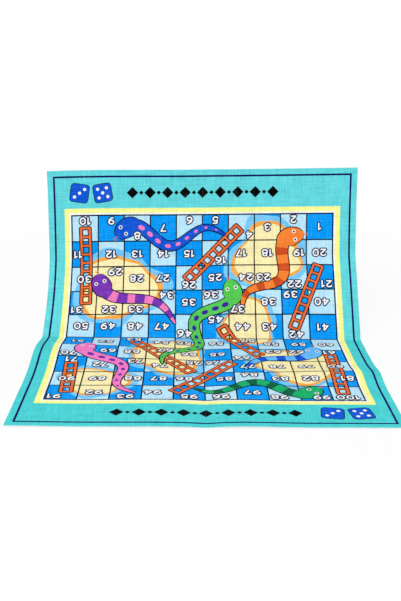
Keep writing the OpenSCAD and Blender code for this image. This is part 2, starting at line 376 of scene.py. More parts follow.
# %% Short calls for material nodes
class Nodes:
    """Short calls for the nodes of a material or a world."""

    def __init__(self, owner):
        self.tree = owner.node_tree

    def add(self, kind, links=(), **settings):
        """A node with its settings, and its inputs, by index or name, linked to sockets or set to values."""
        node = self.tree.nodes.new(kind)
        for name, value in settings.items():
            setattr(node, name, value)
        for key, source in dict(links).items():
            if isinstance(source, bpy.types.NodeSocket):
                self.tree.links.new(source, node.inputs[key])
            else:
                node.inputs[key].default_value = source
        return node

    def math(self, operation, first, second=0.0):
        """The result of one Math node."""
        return self.add("ShaderNodeMath", {0: first, 1: second}, operation=operation).outputs[0]

    def total(self, *values):
        """The sum of several values."""
        return functools.reduce(functools.partial(self.math, "ADD"), values)

    def noise(self, vector, size, detail=2.0):
        """Noise whose features are about one size across, in metres."""
        made = self.add("ShaderNodeTexNoise", {"Vector": vector, "Scale": 1 / size, "Detail": detail})
        return made.outputs["Fac"]

    def spread(self, value, low, high, start=0.0, end=1.0, **settings):
        """A value from start to end brought between two others, and held at them outside."""
        limits = {"From Min": start, "From Max": end, "To Min": low, "To Max": high}
        return self.add("ShaderNodeMapRange", {"Value": value, **limits}, **settings).outputs["Result"]

    def stretched(self, vector, scale):
        """A vector scaled along each axis."""
        return self.add("ShaderNodeMapping", {"Vector": vector, "Scale": scale}).outputs["Vector"]

    def mixed(self, share, first, second, **settings):
        """The colour of one Mix node."""
        colours = {0: share, 6: first, 7: second}
        return self.add("ShaderNodeMix", colours, data_type="RGBA", **settings).outputs[2]


print("node calls:", [name for name in vars(Nodes) if not name.startswith("_")])

# %% Weave, yarns and dye
WEAVE_PITCH = 1.3 * MM
YARN_W = 3.2 * MM
YARN_STRETCH = 0.08
# How far each texture swings the ink up or down
YARN_SHADE = 0.2
CLOUD_SHADE = 0.12
FUZZ_SHADE = 0.1
WEAVE_SHADE = 0.025


def woven(nodes, u, v):
    """Crossing yarns: a sine along each direction, multiplied."""
    turn = 2 * math.pi / WEAVE_PITCH
    yarn_u, yarn_v = (nodes.math("SINE", nodes.math("MULTIPLY", axis, turn)) for axis in (u, v))
    return nodes.math("MULTIPLY", yarn_u, yarn_v)


def thick_yarns(nodes, flat):
    """Streaks of thicker yarn in both directions: noise drawn out along u, and noise drawn out along v."""
    stretches = ((YARN_STRETCH, 1, 1), (1, YARN_STRETCH, 1))
    return [nodes.noise(nodes.stretched(flat, stretch), YARN_W) for stretch in stretches]


def uneven_dye(nodes, yarns, cloud, fuzz, weave):
    """Factor on the ink: the swings of all the textures added to 1."""
    swings = [nodes.spread(yarn, -YARN_SHADE, YARN_SHADE) for yarn in yarns]
    swings.append(nodes.spread(cloud, -CLOUD_SHADE, CLOUD_SHADE))
    swings.append(nodes.spread(fuzz, -FUZZ_SHADE, FUZZ_SHADE))
    swings.append(nodes.math("MULTIPLY", weave, WEAVE_SHADE))
    return nodes.total(*swings, 1.0)


print("weave pitch", WEAVE_PITCH / MM, "mm, thick yarns", YARN_W / MM, "mm")

# %% Worn creases and bare fibre
WORN_HALF = 1.6 * MM
WORN_MOST = 0.07
BARE_MOST = 0.09
# Range of the yarn noise over which bare fibre comes in
BARE_FROM = 0.45
BARE_TO = 0.75


def bare_share(nodes, u, v, yarns, fuzz):
    """Share of bare fibre: it falls off straight from the nearest crease, and shows where thick yarns cross.

    Three creases run across the mat, at v = 0 and a quarter either way, and one from front to back, at u = 0.
    """
    from_middle = nodes.math("ABSOLUTE", v)
    from_quarter = nodes.math("ABSOLUTE", nodes.math("SUBTRACT", from_middle, quarter))
    nearest = nodes.math("MINIMUM", from_middle, from_quarter)
    nearest = nodes.math("MINIMUM", nearest, nodes.math("ABSOLUTE", u))
    worn = nodes.math("SUBTRACT", 1.0, nodes.math("DIVIDE", nearest, WORN_HALF))
    worn = nodes.math("MULTIPLY", nodes.math("MAXIMUM", worn, 0.0), nodes.spread(fuzz, 0.0, WORN_MOST))
    crossing = nodes.math("MULTIPLY", *(nodes.spread(yarn, 0, 1, BARE_FROM, BARE_TO) for yarn in yarns))
    return nodes.math("MAXIMUM", worn, nodes.math("MULTIPLY", crossing, BARE_MOST))


print("creases worn over", 2 * WORN_HALF / MM, "mm")

# %% Cloth material
CLOUD_SIZE = 26 * MM
FUZZ_SIZE = 0.5 * MM
FIBRE = (0.9, 0.92, 0.92, 1)
ROUGH_LOW = 0.8
ROUGH_HIGH = 0.98
SPECULAR = 0.02
SHEEN = 0.005
SHEEN_ROUGH = 0.6
WEAVE_BUMP = 0.5
BUMP_STRENGTH = 0.35
BUMP_DEPTH = 0.4 * MM


def printed_cloth():
    """Matt woven cloth in the ink of each face."""
    material = bpy.data.materials.new("printed_cloth")
    material.use_nodes = True
    nodes = Nodes(material)
    shader = material.node_tree.nodes["Principled BSDF"]
    ink = nodes.add("ShaderNodeVertexColor", layer_name="ink").outputs["Color"]
    flat = nodes.add("ShaderNodeUVMap", uv_map="flat").outputs["UV"]
    u, v, _ = nodes.add("ShaderNodeSeparateXYZ", {0: flat}).outputs
    weave = woven(nodes, u, v)
    yarns = thick_yarns(nodes, flat)
    cloud = nodes.noise(flat, CLOUD_SIZE, 3)
    fuzz = nodes.noise(flat, FUZZ_SIZE, 4)

    shade = uneven_dye(nodes, yarns, cloud, fuzz, weave)
    tone = nodes.add("ShaderNodeCombineColor", {0: shade, 1: shade, 2: shade}).outputs[0]
    dyed = nodes.mixed(1.0, ink, tone, blend_type="MULTIPLY", clamp_result=True)
    coloured = nodes.mixed(bare_share(nodes, u, v, yarns, fuzz), dyed, FIBRE)
    nodes.tree.links.new(coloured, shader.inputs["Base Color"])

    nodes.tree.links.new(nodes.spread(fuzz, ROUGH_LOW, ROUGH_HIGH), shader.inputs["Roughness"])
    shader.inputs["Specular IOR Level"].default_value = SPECULAR
    shader.inputs["Sheen Weight"].default_value = SHEEN
    shader.inputs["Sheen Roughness"].default_value = SHEEN_ROUGH
    height = nodes.math("ADD", nodes.math("MULTIPLY", weave, WEAVE_BUMP), fuzz)
    bump = nodes.add("ShaderNodeBump", {"Height": height, "Strength": BUMP_STRENGTH, "Distance": BUMP_DEPTH})
    nodes.tree.links.new(bump.outputs["Normal"], shader.inputs["Normal"])
    return material


cloth_material = printed_cloth()
print("material", cloth_material.name, "with", len(cloth_material.node_tree.nodes), "nodes")

# %% [markdown]
# ## Three pieces that bend
# The real sheet is one piece, but here a piece can bend across one fold only. Cutting it at the creases
# would open gaps when it folds. So the cloth, and everything printed on it, is cut half way between the
# creases, where the cloth keeps its shape in every pose. Each piece then follows the panel on one side
# of its crease, then the panel on the other, and turns smoothly between them.

# %% Pieces and their folds
# Name, panels before and after the fold, crease, lowest and highest v, and half the length that bends
Zone = namedtuple("Zone", "name first second crease low high reach")
PAST_EDGE = 1.001 * half_l
ZONES = [
    Zone("front", "front_outer", "front_inner", -quarter, -PAST_EDGE, -quarter / 2, 25 * MM),
    Zone("middle", "front_inner", "rear_inner", 0.0, -quarter / 2, quarter / 2, 30 * MM),
    Zone("rear", "rear_inner", "rear_outer", quarter, quarter / 2, PAST_EDGE, 45 * MM),
]
# Degrees between two faces above which their edge is shaded as a sharp one
SHARP_ANGLE = 50


def bend_with_fold(piece, zone):
    """Works out two points on the middle line on either side of the fold, which nothing uses, and bakes the
    piece's place into its mesh.
    """
    ends = on_cloth(np.zeros(2), zone.crease + np.array([-zone.reach, zone.reach]), np.zeros(2))
    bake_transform(piece)


def make_piece(name, points, faces, colours, flat):
    """A mesh piece from whole arrays, with its inks by face corner and its flat coordinates as a UV map."""
    mesh = bpy.data.meshes.new(name)
    mesh.from_pydata(points, [], faces)
    ink = mesh.color_attributes.new("ink", "FLOAT_COLOR", "CORNER")
    ink.data.foreach_set("color", np.repeat(colours, faces.shape[1], axis=0).ravel())
    mesh.uv_layers.new(name="flat").data.foreach_set("uv", flat[faces.ravel()].ravel())
    mesh.polygons.foreach_set("use_smooth", np.ones(len(faces), bool))
    mesh.set_sharp_from_angle(angle=math.radians(SHARP_ANGLE))
    mesh.materials.append(cloth_material)
    piece = bpy.data.objects.new(name, mesh)
    bpy.context.scene.collection.objects.link(piece)
    return piece


print("pieces are cut at v", [round(zone.low, 3) for zone in ZONES[1:]])

# %% [markdown]
# ## The ground colours
# The border with its frames and the chequered squares cover the whole mat, and all their edges are
# straight. They could be patches laid on the cloth like the rest of the print. But a sheet needs a grid
# of faces anyway, so the grid gets a line at every colour edge, and each face takes the ground's ink.
# Ink creeps a little in cloth, so the dark lines are somewhat wider than they were drawn.

# %% Layout of the print
# From the edge inwards: margin, navy line, teal band at the sides, yellow and white frames, and lines
CELLS = 10
MARGIN = 13 * MM
NAVY_W = 3.6 * MM
SIDE_BAND = 19.8 * MM
YELLOW_W = 10.5 * MM
WHITE_W = 4 * MM
FIELD_LINE_W = 3.2 * MM
LINE_W = 2 * MM
INK_SPREAD = 0.3 * MM
half_field = half_w - MARGIN - NAVY_W - SIDE_BAND - YELLOW_W - WHITE_W - FIELD_LINE_W / 2
cell = 2 * half_field / CELLS
white_half = half_field + FIELD_LINE_W / 2 + WHITE_W
yellow_half = white_half + YELLOW_W
navy_out = MARGIN - INK_SPREAD
navy_in = MARGIN + NAVY_W + INK_SPREAD


def ground(u, v):
    """Ink of the ground at flat points: the border with its navy line, the two frames and the squares."""
    from_edge = np.minimum(half_w - np.abs(u), half_l - np.abs(v))
    from_middle = np.maximum(np.abs(u), np.abs(v))
    column = np.floor((u + half_field) / cell).astype(int)
    row = np.floor((half_field - v) / cell).astype(int)
    chequer = np.where((column + row) % 2 == 0, INK["pale_blue"], INK["blue"])
    # The lying half's border takes the darker teal, which is painted shade
    border = np.where(v > 0, INK["teal"], INK["deep_teal"])
    return np.select(
        [
            (from_edge > navy_out) & (from_edge < navy_in),
            from_middle > yellow_half,
            from_middle > white_half,
            from_middle > half_field,
        ],
        [INK["navy"], border, INK["yellow"], INK["cloth"]],
        chequer,
    )


print(f"square {cell / MM:.1f} mm, field {2 * half_field / MM:.0f} mm")

# %% Grid lines of the sheet
COARSE = 6 * MM
FINE = 2 * MM
FINE_REACH = 46 * MM
# Less than any length here, so that rounding moves no line
HAIR = 1e-6


def filled(stops, steps):
    """Lines through the stops in order, with even lines between two stops no further apart than the step."""
    stops = np.asarray(stops)
    counts = np.ceil(np.diff(stops) / steps - HAIR).astype(int)
    spans = [np.linspace(a, b, n, endpoint=False) for a, b, n in zip(stops, stops[1:], counts)]
    return np.concatenate([*spans, stops[-1:]])


def sheet_lines(half, creases, extra=()):
    """Grid lines from -half to half: every edge of the ground colours, with fine steps about the creases."""
    edges = np.array([half, half - navy_out, half - navy_in, yellow_half, white_half])
    squares = np.linspace(-half_field, half_field, CELLS + 1)
    about = np.ravel([[c - FINE_REACH, c, c + FINE_REACH] for c in creases])
    # Rounded, so that stops that fall together count once
    stops = np.unique(np.round(np.concatenate([-edges, edges, squares, about, extra]), 7))
    middles = (stops[1:] + stops[:-1]) / 2
    near = np.min(np.abs(middles[:, None] - np.asarray(creases)), 1) < FINE_REACH
    return filled(stops, np.where(near, FINE, COARSE))


u_lines = sheet_lines(half_w, [0.0])
v_lines = sheet_lines(half_l, [-quarter, 0.0, quarter], [-quarter / 2, quarter / 2])
print(len(u_lines), "lines across and", len(v_lines), "along")

# %% [markdown]
# ## The sheet
# The mat is a single layer of cloth, one millimetre thick, with plain cut edges and an unprinted back
# that lets a little of the print show through. A flat grid with a Solidify modifier would give the
# thickness, but its back would have the colours of the front. So the closed sheet is put together here:
# the printed top, the same grid turned over as the back, and a strip of faces round the outline.

# %% Mesh of a closed sheet
SHOW_THROUGH = 0.1


def grid_faces(n, m):
    """Point numbers of an n by m grid, and its four-cornered faces."""
    index = np.arange(n * m).reshape(n, m)
    corners = [index[:-1, :-1], index[1:, :-1], index[1:, 1:], index[:-1, 1:]]
    return index, np.stack(corners, -1).reshape(-1, 4)


def sheet_mesh(u, v):
    """Flat points, lifts, faces and face colours of a closed sheet over grid lines u and v.

    The back is the top turned over, and the edge joins the two along the outline.
    """
    flat = np.stack(np.meshgrid(u, v, indexing="ij"), -1).reshape(-1, 2)
    top, quads = grid_faces(len(u), len(v))
    outline = np.concatenate([top[:-1, 0], top[-1, :-1], top[:0:-1, -1], top[0, :0:-1]])
    onward = np.roll(outline, -1)
    under = len(flat)
    edge = np.stack([outline + under, onward + under, onward, outline], -1)
    faces = np.concatenate([quads, quads[:, ::-1] + under, edge])
    inks = palette[ground(*flat[quads].mean(1).T)]
    back = SHOW_THROUGH * inks + (1 - SHOW_THROUGH) * palette[INK["cloth"]]
    rim = np.repeat((palette[[INK["teal"]]] + palette[[INK["cloth"]]]) / 2, len(edge), 0)
    lifts = np.repeat([cloth_t, 0.0], under)
    return np.concatenate([flat, flat]), lifts, faces, np.concatenate([inks, back, rim])


print(f"the back shows {SHOW_THROUGH:.0%} of the print")

# %% Cloth pieces
GROUND_FILMS = ("border", "navy_line", "yellow_frame", "blue_squares", "pale_squares")
PANELS = {"front": ["front_outer"], "middle": ["front_inner"], "rear": ["rear_inner", "rear_outer"]}


def by_panel(film):
    """The packed nodes of a film that is split by panel, for each zone."""
    return {zone: [f"{panel}_{film}" for panel in panels] for zone, panels in PANELS.items()}


for zone in ZONES:
    lines = v_lines[(v_lines > zone.low - HAIR) & (v_lines < zone.high + HAIR)]
    flat, lifts, faces, colours = sheet_mesh(u_lines, lines)
    piece = make_piece("cloth_" + zone.name, on_cloth(*flat.T, lifts), faces, colours, flat)
    bend_with_fold(piece, zone)
    panels = by_panel("panel")[zone.name]
    films = [f"{panel}_{film}" for panel in PANELS[zone.name] for film in GROUND_FILMS]
    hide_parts(f"{zone.name}_crease", *panels, *films)
    print(piece.name, len(faces), "faces")

# %% [markdown]
# ## Laying print on the cloth
# Everything else on the mat has curved or slanted edges, so the sheet's own grid can't carry it. It could
# be a drawn texture, but then its edges would blur close up. So each shape is a thin patch: a grid of
# flat points with an ink for each face and a small lift, with later inks above earlier ones, as in
# screen printing. The patches of one motif are joined, cut into the three zones by face, and carried to
# the cloth.

# %% Ink layers and patches
# Lift of each ink layer above the cloth
ISLAND_LIFT = 0.08 * MM
LINE_LIFT = 0.30 * MM
LADDER_EDGE_LIFT = 0.36 * MM
LADDER_LIFT = 0.42 * MM
SNAKE_EDGE_LIFT = 0.48 * MM
SNAKE_LIFT = 0.54 * MM
MARK_LIFT = 0.60 * MM
NUMBER_EDGE_LIFT = 0.68 * MM
NUMBER_LIFT = 0.76 * MM
# Step that keeps two overlapping patches of one layer apart
APART = 0.006 * MM


def patch(grid, ink, lift):
    """Flat points, lifts, faces and inks of a grid of points, turned so that the print side faces up.

    The cross product of a face's diagonals tells which way it faces.
    """
    n, m = grid.shape[:2]
    _, faces = grid_faces(n, m)
    flat = grid.reshape(-1, 2)
    first, second = flat[faces[:, 2]] - flat[faces[:, 0]], flat[faces[:, 3]] - flat[faces[:, 1]]
    if np.sum(first[:, 0] * second[:, 1] - first[:, 1] * second[:, 0]) < 0:
        faces = faces[:, ::-1]
    inks = np.broadcast_to(ink, (n - 1, m - 1)).ravel()
    return flat, np.full(n * m, lift), faces, inks


print("ink layers from", ISLAND_LIFT / MM, "to", NUMBER_LIFT / MM, "mm above the cloth")


# %% Laying a motif on the cloth
def joined(patches):
    """Several patches as one set of arrays."""
    starts = np.cumsum([0] + [len(p[0]) for p in patches[:-1]])
    faces = np.concatenate([p[2] + start for p, start in zip(patches, starts)])
    flat, lifts, inks = (np.concatenate([p[k] for p in patches]) for k in (0, 1, 3))
    return flat, lifts, faces, inks


def lay(name, patches, nodes):
    """Lays a motif's patches on the cloth as one piece in each zone that it reaches.

    nodes gives, for each zone, the packed nodes that are hidden where its piece lies.
    """
    flat, lifts, faces, inks = joined(patches)
    middle = flat[faces, 1].mean(1)
    counts = {}
    for zone in ZONES:
        here = (middle >= zone.low) & (middle < zone.high)
        if not here.any():
            continue
        used, local = np.unique(faces[here], return_inverse=True)
        points = on_cloth(*flat[used].T, cloth_t + lifts[used])
        local = local.reshape(-1, 4)
        piece = make_piece(f"{name}_{zone.name}", points, local, palette[inks[here]], flat[used])
        bend_with_fold(piece, zone)
        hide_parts(*nodes.get(zone.name, ()))
        counts[zone.name] = len(local)
    print(name, "faces:", counts)


def at(column, row):
    """Flat point given in squares: columns from the left and rows from the rear, times the square's side."""
    return np.array([(column - CELLS / 2) * cell, (CELLS / 2 - row) * cell])


print("the middle of the rear left square is at", at(0.5, 0.5).round(4))

# %% [markdown]
# ## Islands
# Sand islands lie in the blue field, each with a darker shore and a rim of shallow water. A fan of
# triangles from the middle would be the simple way, but its thin faces cut through the bent cloth. So a
# square grid is wrapped into rings: it has no pole, its faces stay small, and shore and shallows follow
# rings of faces. The radius waves with direction, which makes capes and bays.

# %% Rings round a middle
def ring_grid(rings):
    """Ring number and direction of each point of a square grid whose square rings become circles.

    The ring is the larger of |x| and |y|, and each side of a ring takes an even quarter of a turn.
    """
    k = np.arange(-rings, rings + 1)
    x, y = np.meshgrid(k, k, indexing="ij")
    ring = np.maximum(np.abs(x), np.abs(y))
    side = np.maximum(ring, 1)
    wide = np.abs(x) >= np.abs(y)
    by_x = np.pi / 4 * y / side * np.sign(x)
    by_y = np.pi / 2 - np.pi / 4 * x / side * np.sign(y)
    return ring, np.where(wide, by_x, by_y) + np.pi * np.where(wide, x < 0, y < 0)


def around(reach, turn):
    """Flat steps from a middle: the reach times the cosine and the sine of the direction."""
    return np.stack([reach * np.cos(turn), reach * np.sin(turn)], -1)


print("a grid of 3 rings has", ring_grid(3)[0].size, "points")

# %% Islands
# Middle in squares, mean radius, and turn of the coast in degrees
ISLANDS = [
    ((1.8, 2.9), 84 * MM, 20),
    ((7.5, 1.6), 76 * MM, 75),
    ((6.7, 4.5), 60 * MM, 140),
    ((3.8, 6.7), 78 * MM, 200),
    ((8.2, 7.4), 82 * MM, 260),
    ((1.5, 8.7), 60 * MM, 320),
]
# Waves round the coast: how many, how they turn, and how deep they are
COAST_WAVES = ((3, 1, 0.11), (2, -1, 0.08), (5, 2, 0.04), (8, -3, 0.025))
# Rings of each ink, and the shares of the radius at which the first and the last of them lie
RINGS = {"sand": (26, 0.9 / 26, 0.9), "shore": (5, 0.92, 1.0), "shallows": (6, 1.03, 1.17)}
RING_INKS = np.concatenate([np.full(count, INK[ink]) for ink, (count, _, _) in RINGS.items()])
ring_radii = [np.linspace(first, last, count) for count, first, last in RINGS.values()]
RING_RADII = np.concatenate([[0.0], *ring_radii])
# Depths of the waves that widen and narrow shore and shallows, and the share over which they come in
SHORE_WAVE = 0.05
SHORE_RIPPLE = 0.03
SHORE_SWING = 0.2


def island(middle, radius, turned):
    """An island in rings of ink: its mean radius times 1 and the cosines that make its coast.

    Near the coast four waves and seven ripples push the rings in and out, so their widths vary.
    """
    ring, a = ring_grid(len(RING_INKS))
    t = math.radians(turned)
    coast = 1 + sum(depth * np.cos(count * a + turn * t) for count, turn, depth in COAST_WAVES)
    share = RING_RADII[ring]
    outward = np.clip(share - 1, -SHORE_SWING / 2, SHORE_SWING) / SHORE_SWING
    uneven = 1 + (SHORE_WAVE * np.cos(4 * a - t) + SHORE_RIPPLE * np.sin(7 * a)) * outward
    grid = at(*middle) + around(radius * coast * share * uneven, a)
    outer = np.max([ring[:-1, :-1], ring[1:, 1:], ring[1:, :-1], ring[:-1, 1:]], 0)
    return patch(np.clip(grid, -half_field, half_field), RING_INKS[outer - 1], ISLAND_LIFT)


lay("islands", [island(*row) for row in ISLANDS], by_panel("islands"))

# %% [markdown]
# ## Lines between the squares
# The dark lines are printed over the ground and the islands. Gaps in the sheet's own colours could show
# them, but the islands would cover those. So each line is a strip of its own, with points at the same
# places as the sheet's grid, which keeps it close to the cloth in every bend.

# %% Lines between the squares
line_reach = half_field + FIELD_LINE_W / 2


def line_patches():
    """Strips along every side of the squares, with the outermost ones reaching further out."""
    sides = np.linspace(-half_field, half_field, CELLS + 1)
    half = LINE_W / 2 + INK_SPREAD
    low, high = sides - half, sides + half
    low[0], high[-1] = -line_reach, line_reach
    along_u, along_v = (
        np.concatenate([[-line_reach], lines[np.abs(lines) < half_field - HAIR], [line_reach]])
        for lines in (u_lines, v_lines)
    )
    made = []
    for a, b in zip(low, high):
        upright = np.stack(np.meshgrid([a, b], along_v, indexing="ij"), -1)
        level = np.stack(np.meshgrid(along_u, [a, b], indexing="ij"), -1)
        made.append(patch(upright, INK["line"], LINE_LIFT))
        made.append(patch(level, INK["line"], LINE_LIFT + APART))
    return made


lay("grid_lines", line_patches(), by_panel("grid_lines"))

# %% [markdown]
# ## Strokes
# Ladders, tongues and numbers all look as if drawn with a round pen. Blender's curves with a bevel would
# do that in the round, but the print is flat and has to lie on bent cloth. So a stroke is a grid that
# runs along a path and across the pen. Its ends are rounded by running on for half a width while the pen
# narrows as a circle does.

# %% Paths
def arc(middle, radii, start, end, count=16):
    """Points on an ellipse from one direction to another in degrees: its radii times cosine and sine."""
    a = np.radians(np.linspace(start, end, count))
    return np.asarray(middle) + np.asarray(radii) * np.stack([np.cos(a), np.sin(a)], -1)


def line(*points, step):
    """Points of a path with corners, with even points between two corners no further apart than the step."""
    points = np.asarray(points, float)
    lengths = np.linalg.norm(np.diff(points, axis=0), axis=1)
    along = np.concatenate([[0], np.cumsum(lengths)])
    return np.stack([np.interp(filled(along, step), along, points[:, k]) for k in (0, 1)], -1)


def headings(path):
    """Unit direction of a path at each point: the step between its neighbours, brought to length 1."""
    ahead = np.gradient(path, axis=0)
    return ahead / np.linalg.norm(ahead, axis=1, keepdims=True)


def aside_of(ahead):
    """Directions turned to the left by a right angle: (x, y) becomes (-y, x)."""
    return np.stack([-ahead[..., 1], ahead[..., 0]], -1)


print("a path of 1 m in steps of 0.3 m has", len(line((0, 0), (1, 0), step=0.3)), "points")

# %% Strokes
# Directions in degrees at which a round end is drawn, and the least share of the width at its tip
ROUND_END = (90, 70, 45, 20)
TIP_SHARE = 0.01


def ribbon(path, half_widths, ink, lift, columns=2):
    """A strip along a path: each point is moved aside along the normal by shares of the half width."""
    shares = np.linspace(-1, 1, columns + 1)
    reach = np.multiply.outer(np.broadcast_to(half_widths, len(path)), shares)
    return patch(path[:, None] + aside_of(headings(path))[:, None] * reach[..., None], ink, lift)


def stroke(path, half_width, ink, lift, closed=False):
    """A ribbon of one width with round ends, or with none where the path closes on itself.

    At each direction of a round end the path runs on by its sine, and the pen narrows to its cosine.
    """
    if closed:
        return ribbon(path, half_width, ink, lift)
    turn = np.radians(ROUND_END)
    out, narrow = np.sin(turn), np.maximum(np.cos(turn), TIP_SHARE)
    first, last = path[0] - path[1], path[-1] - path[-2]
    first, last = (d / np.linalg.norm(d) * half_width for d in (first, last))
    start = path[0] + out[:, None] * first
    end = path[-1] + out[::-1, None] * last
    widths = half_width * np.concatenate([narrow, np.ones(len(path)), narrow[::-1]])
    return ribbon(np.concatenate([start, path, end]), widths, ink, lift)


print("a straight stroke of two points has", len(stroke(np.eye(2), 0.1, 0, 0)[2]), "faces")

# %% [markdown]
# ## Ladders
# Each ladder has two rails and evenly spaced rungs in orange-red ink, with a thin dark edge. An edge could
# be made by offsetting the outline, which is hard at every corner of a ladder. Drawing the same ladder
# first with a wider dark pen gives the same edge with no corner to work out.

# %% Ladders
LADDER_W = 25 * MM
RAIL_W = 5 * MM
RUNG_PITCH = 20 * MM
RUNG_W = 4.5 * MM
LADDER_EDGE = 2.2 * MM
LADDER_STEP = 3 * MM
# Foot and top in squares
LADDERS = [
    ((0.5, 0.45), (0.6, 3.55)),
    ((6.45, 0.5), (4.4, 2.6)),
    ((9.45, 2.0), (8.4, 4.6)),
    ((5.7, 4.5), (7.0, 6.6)),
    ((2.5, 5.4), (4.6, 8.0)),
    ((9.5, 6.4), (9.4, 9.55)),
    ((0.5, 7.4), (0.6, 9.5)),
    ((4.0, 9.5), (6.0, 7.2)),
]


def ladder(foot, top):
    """Rails along the ladder's two sides and rungs between them, first edges and then ink."""
    start, end = at(*foot), at(*top)
    length = np.linalg.norm(end - start)
    run = (end - start) / length
    aside = aside_of(run) * (LADDER_W - RAIL_W) / 2
    inset = run * RAIL_W / 2
    gaps = round(length / RUNG_PITCH)
    places = [start + run * d for d in RUNG_W / 2 + np.arange(gaps + 1) * (length - RUNG_W) / gaps]
    rungs = [line(place - aside, place + aside, step=LADDER_STEP) for place in places]
    rails = [line(start + inset + side, end - inset + side, step=LADDER_STEP) for side in (-aside, aside)]
    made = []
    for grow, ink, lift in ((LADDER_EDGE, "ladder_edge", LADDER_EDGE_LIFT), (0, "ladder", LADDER_LIFT)):
        made += [stroke(rung, RUNG_W / 2 + grow, INK[ink], lift) for rung in rungs]
        made += [stroke(rail, RAIL_W / 2 + grow, INK[ink], lift + APART) for rail in rails]
    return made


lay("ladders", [part for row in LADDERS for part in ladder(*row)], by_panel("ladders"))

# %% [markdown]
# ## Snakes
# The snakes are flat printed shapes: a wide rounded head, a swaying body that thins to the tail, and
# bands or spots. They could be traced outlines filled with faces, but a traced outline can't be changed
# later. A ribbon along a swaying line, with a width for each distance from the nose, needs only a head,
# a tail and a few numbers. It is drawn first in a dark edge and then in its own ink. The eyes are plain
# dots.

# %% Middle line and width of a snake
SNAKE_HALF = 15 * MM
HEAD_L = 52 * MM
HEAD_HALF = 21 * MM
SNAKE_SWAY = 28 * MM
SWAY_FADE = 0.4


def snake_line(head, tail, waves, side, t):
    """Middle line from head to tail: a straight run swayed aside by a sine that fades towards the tail."""
    run = tail - head
    sway = side * SNAKE_SWAY * np.sin(np.pi * waves * t) * (1 - SWAY_FADE * t)
    return head + np.multiply.outer(t, run) + np.multiply.outer(sway, aside_of(run) / np.linalg.norm(run))


def snake_half_width(d, length):
    """Half width at a distance along the run: an ellipse for the head, then a root that falls to the tail."""
    head = np.where(d < HEAD_L, HEAD_HALF * np.sqrt(np.maximum(0, 1 - (2 * d / HEAD_L - 1) ** 2)), 0)
    body = np.where(d > HEAD_L / 2, SNAKE_HALF * np.sqrt(np.maximum(0, 1 - d / length)), 0)
    return np.maximum(head, body)


print("snake", 2 * SNAKE_HALF / MM, "mm wide, head", 2 * HEAD_HALF / MM, "mm")

# %% Spine of a snake
Snake = namedtuple("Snake", "head tail waves side ink mark style nodes")
Spine = namedtuple("Spine", "path ahead half walked")


def spine_of(snake, t):
    """Points down a snake's middle at shares t of its run, with heading, half width and length walked."""
    head, tail = at(*snake.head), at(*snake.tail)
    length = np.linalg.norm(tail - head)
    path = snake_line(head, tail, snake.waves, snake.side, t)
    steps = np.linalg.norm(np.diff(path, axis=0), axis=1)
    walked = np.concatenate([[0], np.cumsum(steps)])
    return Spine(path, headings(path), snake_half_width(t * length, length), walked)


def beside(spine, distance, share):
    """Flat point, direction and half width at a distance down the body.

    The point is moved aside by a share of the half width.
    """
    k = int(np.argmin(np.abs(spine.walked - distance)))
    ahead, half = spine.ahead[k], spine.half[k]
    return spine.path[k] + aside_of(ahead) * half * share, math.atan2(ahead[1], ahead[0]), half


print("a spine holds", Spine._fields)

# %% Body of a snake
SNAKE_STEPS = 150
SNAKE_EDGE = 2.3 * MM
SNAKE_COLUMNS = 8
BAND_PITCH = 40 * MM
BAND_SHARE = 0.45
BANDS_FROM = 1.2 * HEAD_L


def snake_body(spine, snake):
    """The dark edge and the body, in bands of two inks behind the head where the style asks for them."""
    inks = np.full((SNAKE_STEPS, SNAKE_COLUMNS), INK[snake.ink])
    if snake.style == "bands":
        walked = spine.walked[:-1, None]
        banded = (walked > BANDS_FROM) & (walked / BAND_PITCH % 1 > 1 - BAND_SHARE)
        inks = np.where(banded, INK[snake.mark], inks)
    edge = ribbon(spine.path, spine.half + SNAKE_EDGE, INK["snake_edge"], SNAKE_EDGE_LIFT, SNAKE_COLUMNS)
    return [edge, ribbon(spine.path, spine.half, inks, SNAKE_LIFT, SNAKE_COLUMNS)]


print("body in", SNAKE_STEPS, "steps, bands every", BAND_PITCH / MM, "mm")

# %% Spots of a snake
# Where the spots begin, the share of the body at which they end, and the step between two
SPOTS_FROM = 1.3 * HEAD_L
SPOTS_TO = 0.92
SPOT_PITCH = 0.62 * BAND_PITCH
# Half length and half width of a spot as shares of the body's half width
SPOT_SHARES = (0.62, 0.4)


def oval(a, length, width):
    """Radius of an ellipse with these half axes at direction a: lw / sqrt((w cos a)^2 + (l sin a)^2)."""
    return length * width / np.hypot(width * np.cos(a), length * np.sin(a))


def spot(middle, radius, ink, lift, turned=0.0, rings=3):
    """A filled outline, as rings that shrink evenly to the middle.

    radius is a function of direction, and a length stands for a circle.
    """
    ring, a = ring_grid(rings)
    reach = (radius(a) if callable(radius) else radius) * ring / rings
    return patch(middle + around(reach, a + turned), ink, lift)


def snake_spots(spine, mark):
    """Ovals down the back, evenly spaced from behind the head to shortly before the tail."""
    made = []
    for place in np.arange(SPOTS_FROM, SPOTS_TO * spine.walked[-1], SPOT_PITCH):
        middle, turned, half = beside(spine, place, 0.0)
        outline = functools.partial(oval, length=SPOT_SHARES[0] * half, width=SPOT_SHARES[1] * half)
        made.append(spot(middle, outline, INK[mark], MARK_LIFT, turned))
    return made


print("spots every", round(SPOT_PITCH / MM, 1), "mm")

# %% Eyes and tongue of a snake
EYE_HALF = 4.4 * MM
PUPIL_HALF = 0.55 * EYE_HALF
EYE_BACK = 0.42 * HEAD_L
# Share of the half width
EYE_ASIDE = 0.5
TONGUE_L = 6 * MM
FORK_L = 4 * MM
FORK_ASIDE = 3 * MM
TONGUE_HALF = 0.9 * MM
FORK_HALF = 0.8 * MM
TONGUE_STEP = 2 * MM


